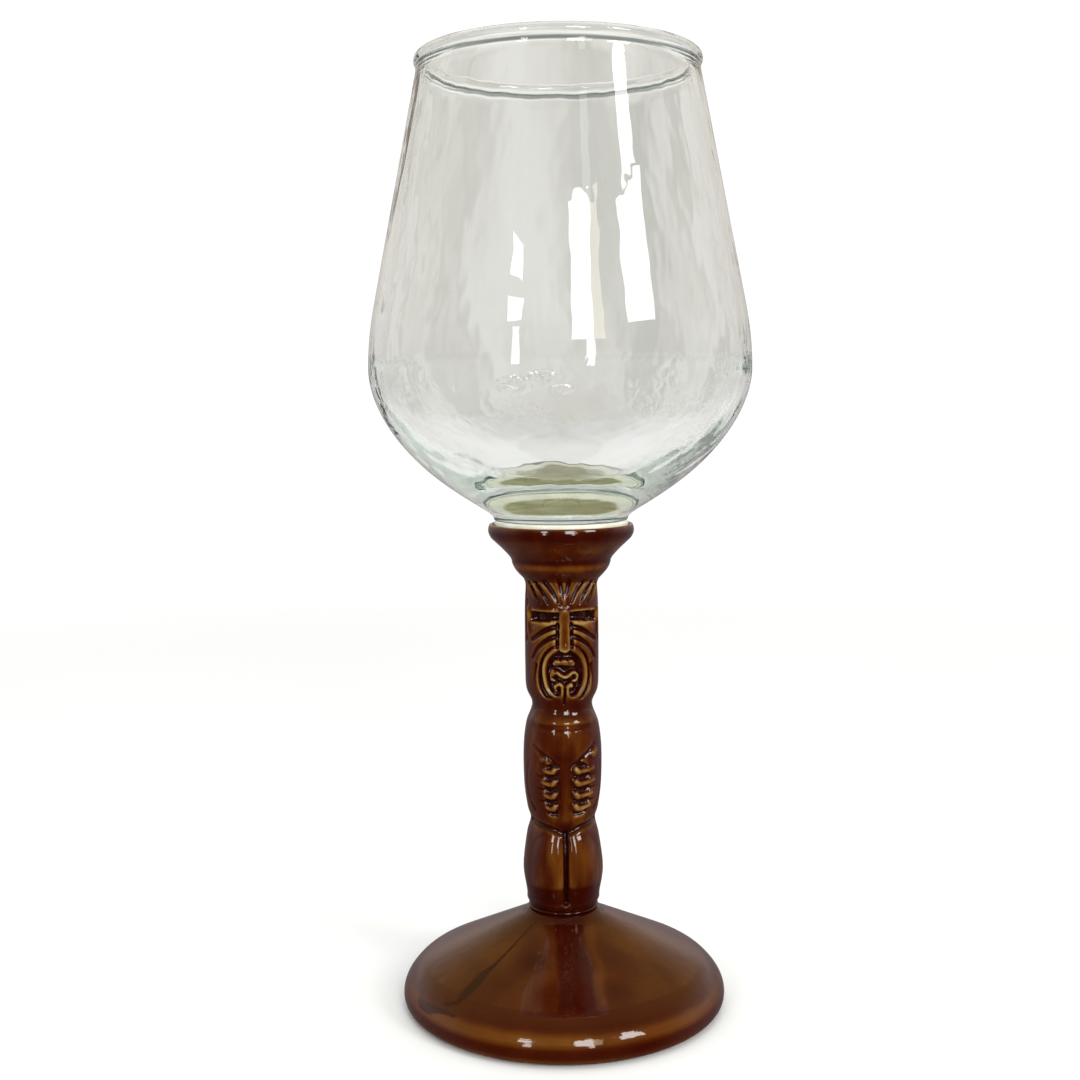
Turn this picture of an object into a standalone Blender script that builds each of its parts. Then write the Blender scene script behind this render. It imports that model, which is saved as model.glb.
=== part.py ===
"""A stemmed tiki goblet: a clear glass bowl cemented on a glazed ceramic figure with a cone foot.

The object stands on z = 0 on the axis of turning, and the figure's face looks along -Y.
Radii and heights below are in millimetres, and MM turns them into metres.
"""

import math

import bmesh
import bpy
from mathutils import Matrix, Vector

MM = 0.001
GAP = 0.3

# Driving heights, from the table up.
SHOULDER_HEIGHT = 9.0
FOOT_TOP = 24.4
STEM_BOTTOM = 25.6
WAIST_HEIGHT = 47.4
NECK_HEIGHT = 76.6
HEAD_TOP = 106.5
SEAT_HEIGHT = 120.6
GLASS_BOTTOM = 122.4
INNER_FLOOR = 132.0
BELLY_HEIGHT = 159.4
RIM_TOP = 234.0

# Driving radii.
FOOT_RADIUS = 40.6
FOOT_FLAT_RADIUS = 37.4
FOOT_RING_WIDTH = 4.0
FOOT_WALL = 5.6
ANKLE_RADIUS = 8.6
LEG_RADIUS = 10.1
WAIST_RADIUS = 8.1
TORSO_RADIUS = 9.8
NECK_RADIUS = 7.5
HEAD_RADIUS = 9.15
COLLAR_LIP_RADIUS = 18.0
GLASS_PAD_RADIUS = 16.6
BELLY_RADIUS = 46.6
RIM_RADIUS = 34.6
RIM_BEAD = 1.6
GLASS_WALL = 1.9

TOP_FINGER_HEIGHT = 61.2
FINGER_PITCH = 3.1
ROUND = 44
FACE = math.radians(-90)


def collection_named(name):
    made = bpy.data.collections.new(name)
    bpy.context.scene.collection.children.link(made)
    return made


def material_named(name, colour, roughness, metallic=0.0, transmission=0.0):
    made = bpy.data.materials.new(name)
    made.use_nodes = True
    shader = made.node_tree.nodes["Principled BSDF"]
    shader.inputs["Base Color"].default_value = (*colour, 1.0)
    shader.inputs["Roughness"].default_value = roughness
    shader.inputs["Metallic"].default_value = metallic
    shader.inputs["Transmission Weight"].default_value = transmission
    return made


def arc(centre, radius, start, end, steps):
    """Points on a round stretch of a profile, from one angle in degrees to another."""
    points = []
    for step in range(steps + 1):
        angle = math.radians(start + (end - start) * step / steps)
        across = centre[0] + radius * math.cos(angle)
        points.append((across, centre[1] + radius * math.sin(angle)))
    return points


def bezier(start, handle_a, handle_b, end, steps):
    """Points on a cubic curve, leaving out its first point."""
    points = []
    for step in range(1, steps + 1):
        t = step / steps
        weights = ((1 - t) ** 3, 3 * t * (1 - t) ** 2, 3 * t * t * (1 - t), t**3)
        ends = (start, handle_a, handle_b, end)
        across = sum(w * p[0] for w, p in zip(weights, ends))
        points.append((across, sum(w * p[1] for w, p in zip(weights, ends))))
    return points


def turned(name, profile, home):
    """A body of revolution. The profile runs from the axis down its outer side to the axis."""
    mesh = bpy.data.meshes.new(name)
    points = [(radius * MM, 0.0, height * MM) for radius, height in profile]
    edges = [(index, index + 1) for index in range(len(points) - 1)]
    mesh.from_pydata(points, edges, [])
    made = bpy.data.objects.new(name, mesh)
    home.objects.link(made)
    screw = made.modifiers.new("turning", "SCREW")
    screw.axis = "Z"
    screw.angle = math.tau
    screw.steps = ROUND
    screw.render_steps = ROUND
    screw.use_merge_vertices = True
    screw.merge_threshold = 0.00001
    screw.use_smooth_shade = True
    return made


def wrapped(name, build, spot, lean, tools):
    """Wraps a flat shape round the figure: its x goes round, its y up, and its z outwards."""
    degrees, height, radius = spot
    bmesh.ops.rotate(build, matrix=Matrix.Rotation(math.radians(lean), 3, "Z"), verts=build.verts)
    for vert in build.verts:
        angle = FACE + math.radians(degrees) + vert.co.x / radius
        reach = radius + vert.co.z
        place = Vector((reach * math.cos(angle), reach * math.sin(angle), height + vert.co.y))
        vert.co = place * MM
    mesh = bpy.data.meshes.new(name)
    build.to_mesh(mesh)
    build.free()
    made = bpy.data.objects.new(name, mesh)
    tools.objects.link(made)
    made.hide_render = True
    made.display_type = "WIRE"
    return made


def bar(name, spot, size, lean, tools, edge=0.3):
    """A bar of size (along, across, deep), with rounded edges, that bends with the skin."""
    build = bmesh.new()
    bmesh.ops.create_cube(build, size=1.0)
    bmesh.ops.scale(build, vec=size, verts=build.verts)
    bmesh.ops.bevel(build, geom=build.edges, offset=edge, segments=1, affect="EDGES")
    cuts = max(1, round(size[0] / 1.6))
    long_edges = [e for e in build.edges if abs(e.verts[0].co.x - e.verts[1].co.x) > 0.6 * size[0]]
    if size[0] > 2.0:
        bmesh.ops.subdivide_edges(build, edges=long_edges, cuts=cuts)
    return wrapped(name, build, spot, lean, tools)


def loop_of_rope(name, spot, radii, thickness, tools):
    """An oval ring lying on the skin, for the lips of the open mouth."""
    rings = 26
    sides = 7
    build = bmesh.new()
    rows = []
    for ring in range(rings):
        turn = math.tau * ring / rings
        row = []
        for side in range(sides):
            roll = math.tau * side / sides
            reach = thickness * math.cos(roll)
            x = (radii[0] + reach) * math.cos(turn)
            y = (radii[1] + reach) * math.sin(turn)
            row.append(build.verts.new((x, y, thickness * math.sin(roll))))
        rows.append(row)
    for ring in range(rings):
        here = rows[ring]
        following = rows[(ring + 1) % rings]
        for side in range(sides):
            after = (side + 1) % sides
            build.faces.new((here[side], following[side], following[after], here[after]))
    return wrapped(name, build, spot, 0, tools)


def combine(target, other, operation):
    step = target.modifiers.new(f"{operation.lower()}_{other.name}", "BOOLEAN")
    step.operation = operation
    step.solver = "EXACT"
    step.object = other


def glass_profile():
    """The bowl from its inner floor, up inside, over the bead, down outside, to its pad."""
    bead = (RIM_RADIUS - RIM_BEAD, RIM_TOP - RIM_BEAD)
    wall_top = (34.2, 230.2)
    wall_end = (45.1, 174.4)
    heel = (26.7, 130.3)
    belly = (BELLY_RADIUS, BELLY_HEIGHT)
    points = [(0.0, INNER_FLOOR)]
    points += bezier((0.0, INNER_FLOOR), (12.0, 132.2), (21.0, 135.6), (30.0, 141.0), 5)
    inner_belly = (BELLY_RADIUS - 2.2, BELLY_HEIGHT + 2.0)
    points += bezier((30.0, 141.0), (38.0, 146.0), (inner_belly[0], 153.0), inner_belly, 6)
    inner_end = (wall_end[0] - GLASS_WALL, wall_end[1])
    points += bezier(inner_belly, (inner_belly[0], 166.0), (44.2, 170.0), inner_end, 3)
    points += [(wall_top[0] - GLASS_WALL, wall_top[1] - 0.8)]
    points += arc(bead, RIM_BEAD, 205, -48, 9)
    points += [(wall_top[0], wall_top[1] - 0.6), wall_end]
    points += bezier(wall_end, (46.2, 168.5), (BELLY_RADIUS, 164.3), belly, 4)
    points += bezier(belly, (BELLY_RADIUS, 151.1), (40.1, 139.5), heel, 8)
    points += bezier(heel, (20.5, 126.0), (17.2, 124.6), (GLASS_PAD_RADIUS, 123.3), 4)
    points += [(GLASS_PAD_RADIUS - 0.5, GLASS_BOTTOM), (0.0, GLASS_BOTTOM)]
    return points


def stem_knots():
    """The figure's outline, as (radius, height) from the collar's lip to the soles."""
    return [
        (COLLAR_LIP_RADIUS, 120.9),
        (17.2, 118.8),
        (14.9, 116.0),
        (13.0, 113.8),
        (12.2, 112.0),
        (11.2, 110.1),
        (9.3, 108.0),
        (8.9, HEAD_TOP),
        (9.05, 103.0),
        (HEAD_RADIUS, 98.0),
        (HEAD_RADIUS, 86.0),
        (8.9, 80.6),
        (NECK_RADIUS, NECK_HEIGHT),
        (9.1, 71.6),
        (TORSO_RADIUS, 65.0),
        (9.65, 56.5),
        (8.9, 50.6),
        (WAIST_RADIUS, WAIST_HEIGHT),
        (9.1, 43.4),
        (LEG_RADIUS, 35.0),
        (9.3, 29.0),
        (ANKLE_RADIUS, STEM_BOTTOM),
    ]


def through(knots, steps):
    """A smooth line through the knots (Catmull-Rom), with some points to each stretch."""
    points = [knots[0]]
    last = len(knots) - 1
    for index in range(last):
        a = Vector(knots[max(index - 1, 0)])
        b = Vector(knots[index])
        c = Vector(knots[index + 1])
        d = Vector(knots[min(index + 2, last)])
        for step in range(1, steps + 1):
            t = step / steps
            smooth = 2 * b + (c - a) * t + (2 * a - 5 * b + 4 * c - d) * t * t
            smooth = smooth + (3 * b - a - 3 * c + d) * t**3
            points.append(tuple(smooth / 2))
    return points


def stem_profile():
    lip_top = [(16.8, SEAT_HEIGHT), (16.9, 121.2), (17.3, 121.6), (17.8, 121.5)]
    return [(0.0, SEAT_HEIGHT)] + lip_top + through(stem_knots(), 2) + [(0.0, STEM_BOTTOM)]


def foot_profile():
    """The cone foot with its thick rounded edge, hollow underneath."""
    edge = (FOOT_RADIUS, 3.6)
    shoulder = (FOOT_RADIUS - 2.0, SHOULDER_HEIGHT)
    cone_start = (35.6, 11.2)
    points = [(0.0, FOOT_TOP), (8.7, FOOT_TOP), (10.6, 22.8), cone_start]
    points += bezier(cone_start, (37.3, 10.3), (38.0, 9.8), shoulder, 3)
    points += bezier(shoulder, (39.9, 7.4), (FOOT_RADIUS, 5.6), edge, 4)
    flat = (FOOT_FLAT_RADIUS, 0.0)
    points += bezier(edge, (FOOT_RADIUS, 1.6), (39.6, 0.0), flat, 4)
    ring = FOOT_FLAT_RADIUS - FOOT_RING_WIDTH
    points += [(ring, 0.0)]
    points += bezier((ring, 0.0), (ring - 0.6, 0.0), (ring - 1.2, 1.0), (ring - 1.8, 2.2), 2)
    points += [(ring - 3.4, 6.4), (9.0, FOOT_TOP - FOOT_WALL - 1.2)]
    points += [(0.0, FOOT_TOP - FOOT_WALL)]
    return points


def carve_figure(stem, tools):
    """The face, arms, hands and legs of the figure, as lumps added and channels cut."""
    skin = HEAD_RADIUS - 0.2
    added = [
        bar("nose", (0, 95.7, skin), (2.8, 10.6, 2.4), 0, tools, edge=0.5),
        bar("brow", (0, 101.0, skin), (16.6, 1.0, 1.5), 0, tools),
        bar("cheek_bar", (0, 97.6, skin), (16.6, 0.9, 1.4), 0, tools),
        loop_of_rope("lips", (0, 85.4, HEAD_RADIUS), (5.3, 6.4), 0.95, tools),
    ]
    for side, name in ((-1, "left"), (1, "right")):
        added.append(bar(f"ear_{name}", (90 * side, 99.0, skin), (2.6, 3.4, 1.3), 0, tools, edge=0.4))
        added.append(bar(f"cheek_{name}", (38 * side, 93.6, 9.1), (6.6, 1.0, 1.2), -24 * side, tools))
        for finger in range(4):
            spot = (25 * side, TOP_FINGER_HEIGHT - FINGER_PITCH * finger, TORSO_RADIUS)
            added.append(bar(f"finger_{name}_{finger}", spot, (3.6, 1.5, 1.3), 0, tools, edge=0.4))
        for strand in range(3):
            spot = ((15 + 15 * strand) * side, 104.9, skin)
            lean = -side * (26 + 10 * strand)
            added.append(bar(f"hair_{name}_{strand}", spot, (1.0, 4.6, 1.2), lean, tools))
    for lump in added:
        combine(stem, lump, "UNION")
    cut = [
        bar("eye_left", (-33, 99.3, 9.3), (7.6, 1.7, 2.4), 0, tools),
        bar("eye_right", (33, 99.3, 9.3), (7.6, 1.7, 2.4), 0, tools),
        bar("mouth_upper", (0, 86.8, 9.4), (7.0, 1.4, 2.6), 0, tools),
        bar("mouth_lower", (0, 82.6, 9.4), (6.4, 1.3, 2.6), 0, tools),
        bar("legs_front", (0, 36.4, 10.2), (1.3, 17.4, 3.6), 0, tools),
        bar("legs_back", (180, 36.4, 10.2), (1.3, 17.4, 3.6), 0, tools),
    ]
    for side, name in ((-1, "left"), (1, "right")):
        cut.append(bar(f"arm_{name}", (38 * side, 65.4, 10.0), (6.4, 0.9, 1.6), 30 * side, tools))
        cut.append(bar(f"flank_{name}", (62 * side, 57.0, 10.0), (0.9, 12.0, 1.6), 0, tools))
    for channel in cut:
        combine(stem, channel, "DIFFERENCE")


def build():
    for old in list(bpy.data.objects):
        bpy.data.objects.remove(old)
    parts = collection_named("tiki_goblet")
    tools = collection_named("tiki_goblet_tools")
    tools.hide_render = True

    glass = material_named("clear_soda_lime_glass", (0.92, 0.95, 0.93), 0.02, transmission=1.0)
    cement = material_named("cream_epoxy_cement", (0.62, 0.58, 0.42), 0.45)
    glaze = material_named("brown_glazed_earthenware", (0.10, 0.028, 0.008), 0.12)
    slip = material_named("fired_joining_slip", (0.05, 0.014, 0.006), 0.3)

    bowl = turned("glass_bowl", glass_profile(), parts)
    bowl.data.materials.append(glass)

    bed_top = GLASS_BOTTOM - GAP
    bed_bottom = SEAT_HEIGHT + GAP
    bed_edge = GLASS_PAD_RADIUS - 0.3
    bed = [(0.0, bed_top), (bed_edge, bed_top), (bed_edge, bed_bottom), (0.0, bed_bottom)]
    adhesive = turned("bowl_adhesive", bed, parts)
    adhesive.data.materials.append(cement)

    stem = turned("tiki_stem", stem_profile(), parts)
    stem.data.materials.append(glaze)
    carve_figure(stem, tools)

    joint_top = STEM_BOTTOM - GAP
    joint_bottom = FOOT_TOP + GAP
    ring = [(0.0, joint_top), (8.3, joint_top), (8.3, joint_bottom), (0.0, joint_bottom)]
    joint = turned("slip_joint", ring, parts)
    joint.data.materials.append(slip)

    foot = turned("foot", foot_profile(), parts)
    foot.data.materials.append(glaze)


build()
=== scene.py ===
# %% [markdown]
# # A stemmed tiki goblet
# The object is a clear wine bowl cemented on a glazed ceramic stem. The stem is a carved tiki
# figure under a flared collar, and it stands on a wide cone foot. The CAD model says where
# every part is. This script gives each of its five parts a skin and a finish of its own.

# %% Load the frame
import bpy
import math
import numpy as np
from mathutils import Matrix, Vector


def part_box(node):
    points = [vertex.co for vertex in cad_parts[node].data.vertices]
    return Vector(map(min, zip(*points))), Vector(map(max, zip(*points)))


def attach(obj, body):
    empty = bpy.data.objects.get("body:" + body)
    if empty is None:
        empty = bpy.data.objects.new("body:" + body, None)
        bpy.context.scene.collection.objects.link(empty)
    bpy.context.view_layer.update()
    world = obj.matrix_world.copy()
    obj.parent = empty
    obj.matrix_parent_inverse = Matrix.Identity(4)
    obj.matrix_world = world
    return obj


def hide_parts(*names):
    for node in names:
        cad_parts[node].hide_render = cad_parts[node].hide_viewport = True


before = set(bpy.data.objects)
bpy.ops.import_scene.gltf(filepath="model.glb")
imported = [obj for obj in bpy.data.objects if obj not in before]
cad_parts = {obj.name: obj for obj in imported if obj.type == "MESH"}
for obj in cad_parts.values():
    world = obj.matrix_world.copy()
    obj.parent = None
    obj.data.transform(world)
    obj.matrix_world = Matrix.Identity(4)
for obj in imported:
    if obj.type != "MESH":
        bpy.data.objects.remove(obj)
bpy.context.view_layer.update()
MM = 0.001

# %% [markdown]
# ## The camera
# The goblet was seen from close by, at about a hand above the middle of its height. A short
# distance makes a rim seen from below and a foot seen from above in the same view, so the
# distance matters more than the lens. The face is turned a little to the right of the viewer.

# %% Camera
VIEW_DISTANCE = 0.3597
VIEW_HEIGHT = 0.1535
VIEW_SIDE = math.radians(-4.5)
VIEW_YAW = math.radians(0.83)
VIEW_PITCH = math.radians(84.28)
VIEW_ROLL = math.radians(-0.46)
VIEW_LENS = 48.67

bpy.ops.object.camera_add()
camera = bpy.context.object
camera.name = "viewing_camera"
camera.data.lens = VIEW_LENS
camera.data.sensor_width = 36.0
camera.data.clip_start = 0.01
turned = Matrix.Rotation(VIEW_SIDE + VIEW_YAW, 4, "Z") @ Matrix.Rotation(VIEW_PITCH, 4, "X")
turned = turned @ Matrix.Rotation(VIEW_ROLL, 4, "Z")
stand = (VIEW_DISTANCE * math.sin(VIEW_SIDE), -VIEW_DISTANCE * math.cos(VIEW_SIDE), VIEW_HEIGHT)
camera.matrix_world = Matrix.Translation(stand) @ turned
bpy.context.scene.camera = camera
bpy.context.scene.view_settings.view_transform = "Standard"
# Light runs round inside a thick glass heel many times before it comes out.
bpy.context.scene.cycles.glossy_bounces = 40
bpy.context.scene.cycles.transmission_bounces = 40
bpy.context.scene.cycles.max_bounces = 60
print("camera stands at", [round(value, 4) for value in stand])

# %% [markdown]
# ## Colours and nodes
# Colours are picked as sRGB hex values, because that is how a maker writes them down. The
# shaders want linear values, so one function turns them. Another adds a node, sets it and
# links it, which keeps each material down to a list of plain steps. Two more start a material
# and fill a colour ramp.

# %% Helpers for materials
def colour(hex_value):
    """The linear RGBA of an sRGB hex value such as 4a1c05."""
    parts = [int(hex_value[i:i + 2], 16) / 255 for i in (0, 2, 4)]
    linear = [p / 12.92 if p <= 0.04045 else ((p + 0.055) / 1.055) ** 2.4 for p in parts]
    return (*linear, 1.0)


def add_node(tree, kind, values=None, links=None, **settings):
    """Adds a node, sets its properties and socket values, and links sockets into it.

    A link may name another node, which then gives its first output."""
    node = tree.nodes.new("ShaderNode" + kind)
    for key, value in settings.items():
        setattr(node, key, value)
    for key, value in (values or {}).items():
        node.inputs[key].default_value = value
    for key, source in (links or {}).items():
        tree.links.new(getattr(source, "outputs", [source])[0], node.inputs[key])
    return node


def new_material(name):
    """An empty node material, its tree, and the place on the piece, for patterns to follow."""
    material = bpy.data.materials.new(name)
    material.use_nodes = True
    tree = material.node_tree
    tree.nodes.clear()
    return material, tree, add_node(tree, "TexCoord").outputs["Object"]


def set_ramp(node, stops):
    """Gives a colour ramp its stops: (place, hex)."""
    while len(node.color_ramp.elements) > 1:
        node.color_ramp.elements.remove(node.color_ramp.elements[-1])
    for number, (place, hex_value) in enumerate(stops):
        if number:
            element = node.color_ramp.elements.new(place)
        else:
            element = node.color_ramp.elements[0]
            element.position = place
        element.color = colour(hex_value)


# Makes a Map Range node ease in and out, where a real change of light or finish is gradual.
SOFTLY = {"interpolation_type": "SMOOTHSTEP"}
print("a mid brown in linear light:", [round(c, 3) for c in colour("4a1c05")])

# %% [markdown]
# ## The room
# Clear glass and glossy glaze show the room more than they show themselves. The room here has
# three parts. A bright white surround stands behind everything. A dim, warm room is what the
# glaze mirrors, because a white one would make dark glaze look milky. Soft rectangles of light
# in front stand for the panes of windows, and give the crisp white reflections.

# %% Floor
FLOOR_RADIUS = 1.1

bpy.ops.object.select_all(action="DESELECT")
bpy.ops.mesh.primitive_circle_add(vertices=96, radius=FLOOR_RADIUS, fill_type="NGON")
floor = bpy.context.object
floor.name = "pale_floor"
floor.visible_glossy = False

floor_paper, tree, place = new_material("white_studio_paper")
reach = add_node(tree, "VectorMath", {}, {0: place}, operation="LENGTH")
fade = add_node(tree, "MapRange", {"From Min": 0.30, "From Max": 1.0}, {"Value": reach.outputs["Value"]},
    **SOFTLY)
paper = add_node(tree, "BsdfDiffuse", {"Color": colour("f4f4f2")})
away = add_node(tree, "BsdfTransparent")
mixed = add_node(tree, "MixShader", {}, {0: fade, 1: paper, 2: away})
add_node(tree, "OutputMaterial", {}, {"Surface": mixed})
floor.data.materials.append(floor_paper)
print("floor radius in metres:", FLOOR_RADIUS)

# %% Surround
world = bpy.data.worlds.new("bright_surround")
bpy.context.scene.world = world
world.use_nodes = True
tree = world.node_tree
tree.nodes.clear()
path = add_node(tree, "LightPath")
place = add_node(tree, "TexCoord").outputs["Generated"]
axes = add_node(tree, "SeparateXYZ", {}, {0: place})
# How far up a direction points, from -1 to 1, and how far back it points.
lift = add_node(tree, "MapRange", {"From Min": -1.0, "From Max": 1.0}, {"Value": axes.outputs["Z"]})
depth = add_node(tree, "MapRange", {"From Min": -0.55, "From Max": 0.35}, {"Value": axes.outputs["Y"]},
    **SOFTLY)
back_wall = add_node(tree, "ValToRGB", {}, {0: lift})
set_ramp(back_wall, [(0.10, "5c544e"), (0.42, "887f82"), (0.50, "a29a9a"), (0.60, "d6cac2"),
    (0.80, "a89a68"), (1.0, "8c7c50")])
front_room = add_node(tree, "ValToRGB", {}, {0: lift})
set_ramp(front_room, [(0.30, "2a201a"), (0.50, "2a2420"), (0.72, "4a443c"), (1.0, "8c7c50")])
mirrored = add_node(tree, "Mix", {}, {0: depth, 6: front_room, 7: back_wall}, data_type="RGBA")
# Seen through the glass, the surround is a shade darker, and it is dark straight overhead.
seen_through = add_node(tree, "ValToRGB", {}, {0: lift})
set_ramp(seen_through, [(0.30, "e8e7e2"), (0.66, "ecebe6"), (0.85, "d8dad6"), (0.94, "a2a6a2"),
    (0.985, "262826")])
upright = add_node(tree, "Mapping", {"Scale": (17.0, 17.0, 1.3)}, {"Vector": place})
strips = add_node(tree, "TexNoise", {"Scale": 1.0, "Detail": 2.0}, {"Vector": upright})
strip_tint = add_node(tree, "ValToRGB", {}, {0: strips.outputs["Fac"]})
set_ramp(strip_tint, [(0.34, "e0e1de"), (0.50, "f6f6f4"), (0.60, "ffffff")])
through = add_node(tree, "Mix", {0: 1.0}, {6: seen_through, 7: strip_tint}, data_type="RGBA",
    blend_type="MULTIPLY")
# The room is brighter high up and to the right. To the left is a dim doorway, and behind it a
# dark post. Each row below: a direction, how near to it the change starts and is complete, and
# the brightness there. Only the edges and the heel of the bowl bend light far enough to show it.
gain = add_node(tree, "MapRange", {"From Min": 0.63, "From Max": 0.70, "To Min": 1.0, "To Max": 1.35},
    {"Value": lift}, **SOFTLY)
for aim, outer, inner, there in (((0.82, -0.45, -0.2), 0.55, 0.85, 1.35),
                                 ((-0.96, -0.05, -0.22), 0.86, 0.96, 0.52),
                                 ((-0.36, 0.895, 0.265), 0.993, 0.997, 0.03)):
    facing = add_node(tree, "VectorMath", {1: aim}, {0: place}, operation="DOT_PRODUCT")
    zone = add_node(tree, "MapRange", {"From Min": outer, "From Max": inner, "To Min": 1.0,
        "To Max": there}, {"Value": facing.outputs["Value"]}, **SOFTLY)
    gain = add_node(tree, "Math", {}, {0: gain, 1: zone}, operation="MULTIPLY")
through = add_node(tree, "VectorMath", {}, {0: through.outputs[2], "Scale": gain}, operation="SCALE")
first = add_node(tree, "Mix", {6: (0.62, 0.62, 0.62, 1.0)},
    {0: path.outputs["Is Glossy Ray"], 7: mirrored.outputs[2]}, data_type="RGBA")
second = add_node(tree, "Mix", {}, {0: path.outputs["Is Transmission Ray"], 6: first.outputs[2],
    7: through}, data_type="RGBA")
third = add_node(tree, "Mix", {7: (1.05, 1.05, 1.05, 1.0)},
    {0: path.outputs["Is Camera Ray"], 6: second.outputs[2]}, data_type="RGBA")
glow = add_node(tree, "Background", {"Strength": 1.0}, {"Color": third.outputs[2]})
add_node(tree, "OutputWorld", {}, {"Surface": glow})
print("surround nodes:", len(tree.nodes))

# %% Window lights
LIGHT_DISTANCE = 1.4
GOBLET_MIDDLE = 0.15


def hang_light(name, side, rise, width, height, brightness, tint="ffffff"):
    """A soft rectangle that faces the goblet, at an angle to the side and above the level."""
    turn = VIEW_SIDE + math.radians(side)
    up = math.radians(rise)
    spot = (LIGHT_DISTANCE * math.sin(turn), -LIGHT_DISTANCE * math.cos(turn),
        GOBLET_MIDDLE + LIGHT_DISTANCE * math.tan(up))
    bpy.ops.object.light_add(type="AREA", location=spot)
    light = bpy.context.object
    light.name = name
    light.data.shape = "RECTANGLE"
    light.data.size = width
    light.data.size_y = height
    light.data.energy = brightness * math.pi * width * height
    light.data.color = colour(tint)[:3]
    light.rotation_euler = (math.radians(90) - up, 0.0, turn)
    light.visible_camera = False
    light.visible_transmission = False


for pane in (("window_middle", 13.5, 20.6, 0.31, 0.53, 11.0),
             ("curtain_middle", 22.5, 20.4, 0.16, 0.52, 4.5, "ffeed2"),
             ("window_middle_sill", 18.0, 5.5, 0.12, 0.24, 9.0),
             ("top_light_middle", 19.0, 32.5, 0.14, 0.16, 2.0),
             ("window_right", 49, 23.0, 0.46, 0.34, 11.0),
             ("top_light_right", 50, 33.0, 0.28, 0.21, 11.0),
             ("window_left", -27, 21.0, 0.22, 0.17, 11.0),
             ("top_light_left", -27, 27.4, 0.18, 0.06, 11.0),
             ("window_left_sill", -25, 8.5, 0.10, 0.36, 9.0)):
    hang_light(*pane)

# %% Overhead light
bpy.ops.object.light_add(type="AREA", location=(0.0, 0.1, 1.3))
overhead = bpy.context.object
overhead.name = "overhead_softbox"
overhead.data.shape = "DISK"
overhead.data.size = 1.4
overhead.data.energy = 7.5
overhead.visible_camera = False
overhead.visible_transmission = False
overhead.visible_glossy = False
print("overhead softbox is", overhead.data.size, "m wide")

# %% [markdown]
# ## Turned shapes
# The bowl, its cement, the slip and the foot are round, as they are when they come off a lathe
# or out of a turned mould. So each starts as one point, which is pulled along half of the
# outline, and the line is then spun round the upright axis. Curves in an outline are drawn with
# Bezier curves and arcs, so that many short steps follow a few known places.

# %% Outline helpers
def bezier(start, first, second, end, steps):
    """Points along a Bezier curve, without its first point."""
    points = []
    for i in range(1, steps + 1):
        t = i / steps
        weights = ((1 - t) ** 3, 3 * t * (1 - t) ** 2, 3 * t * t * (1 - t), t ** 3)
        places = (start, first, second, end)
        points.append(tuple(sum(w * p[k] for w, p in zip(weights, places)) for k in (0, 1)))
    return points


def arc(centre, radius, start, end, steps):
    """Points round an arc, from one angle in degrees to another."""
    angles = [math.radians(start + (end - start) * i / steps) for i in range(steps + 1)]
    return [(centre[0] + radius * math.cos(a), centre[1] + radius * math.sin(a)) for a in angles]


def straight(start, end, steps):
    """Points along a line, without its first point."""
    return [tuple(start[k] + (end[k] - start[k]) * i / steps for k in (0, 1)) for i in range(1, steps + 1)]


def smooth_line(knots, spacing):
    """Points along a Catmull-Rom curve through the knots, at about the given spacing."""
    places = [np.array(knot, float) for knot in knots]
    places = [2 * places[0] - places[1]] + places + [2 * places[-1] - places[-2]]
    line = [tuple(places[1])]
    for a, b, c, d in zip(places, places[1:], places[2:], places[3:]):
        steps = max(1, round(float(np.linalg.norm(c - b)) / spacing))
        for i in range(1, steps + 1):
            t = i / steps
            point = 2 * b + (c - a) * t + (2 * a - 5 * b + 4 * c - d) * t * t
            point = point + (3 * b - a - 3 * c + d) * t ** 3
            line.append(tuple(point / 2))
    return line


def draw_outline(name, outline):
    """A new mesh of one open line: a plane merged to one vertex and extruded step by step."""
    bpy.ops.object.select_all(action="DESELECT")
    bpy.ops.mesh.primitive_plane_add(size=MM, location=(0.0, 0.0, 0.0))
    piece = bpy.context.object
    piece.name = name
    bpy.ops.object.mode_set(mode="EDIT")
    bpy.ops.mesh.select_all(action="SELECT")
    bpy.ops.mesh.merge(type="CENTER")
    last = (0.0, 0.0)
    for number, point in enumerate(outline):
        step = ((point[0] - last[0]) * MM, 0.0, (point[1] - last[1]) * MM)
        if number == 0:
            bpy.ops.transform.translate(value=step)
        else:
            bpy.ops.mesh.extrude_vertices_move(TRANSFORM_OT_translate={"value": step})
        last = point
    return piece


def spin_outline(piece, turns):
    """Spins the line round the upright axis. Each turn is (degrees, steps), one after another."""
    bpy.ops.mesh.select_all(action="SELECT")
    for degrees, steps in turns:
        bpy.ops.mesh.spin(steps=steps, angle=math.radians(degrees), axis=(0.0, 0.0, 1.0),
            center=(0.0, 0.0, 0.0), use_auto_merge=False)
    bpy.ops.mesh.select_all(action="SELECT")
    bpy.ops.mesh.remove_doubles(threshold=0.002 * MM)
    bpy.ops.mesh.normals_make_consistent(inside=False)
    bpy.ops.object.mode_set(mode="OBJECT")
    bpy.ops.object.shade_smooth()


def points_of(piece):
    """The piece's vertices as an array, in millimetres."""
    flat = np.empty(len(piece.data.vertices) * 3)
    piece.data.vertices.foreach_get("co", flat)
    return flat.reshape(-1, 3) / MM


def set_points(piece, points):
    """Puts an array of vertices, in millimetres, back into the piece."""
    piece.data.vertices.foreach_set("co", (points * MM).ravel())
    piece.data.update()


def store(piece, name, values):
    """Keeps one number for each vertex of the piece, for its material to read."""
    layer = piece.data.attributes.new(name, "FLOAT", "POINT")
    layer.data.foreach_set("value", values.astype(np.float32))


def round_the_axis(points):
    """The degrees round from the face, the distance from the axis and the height of points."""
    turn = np.degrees(np.arctan2(points[:, 0], -points[:, 1]))
    return turn, np.hypot(points[:, 0], points[:, 1]), points[:, 2]


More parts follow.
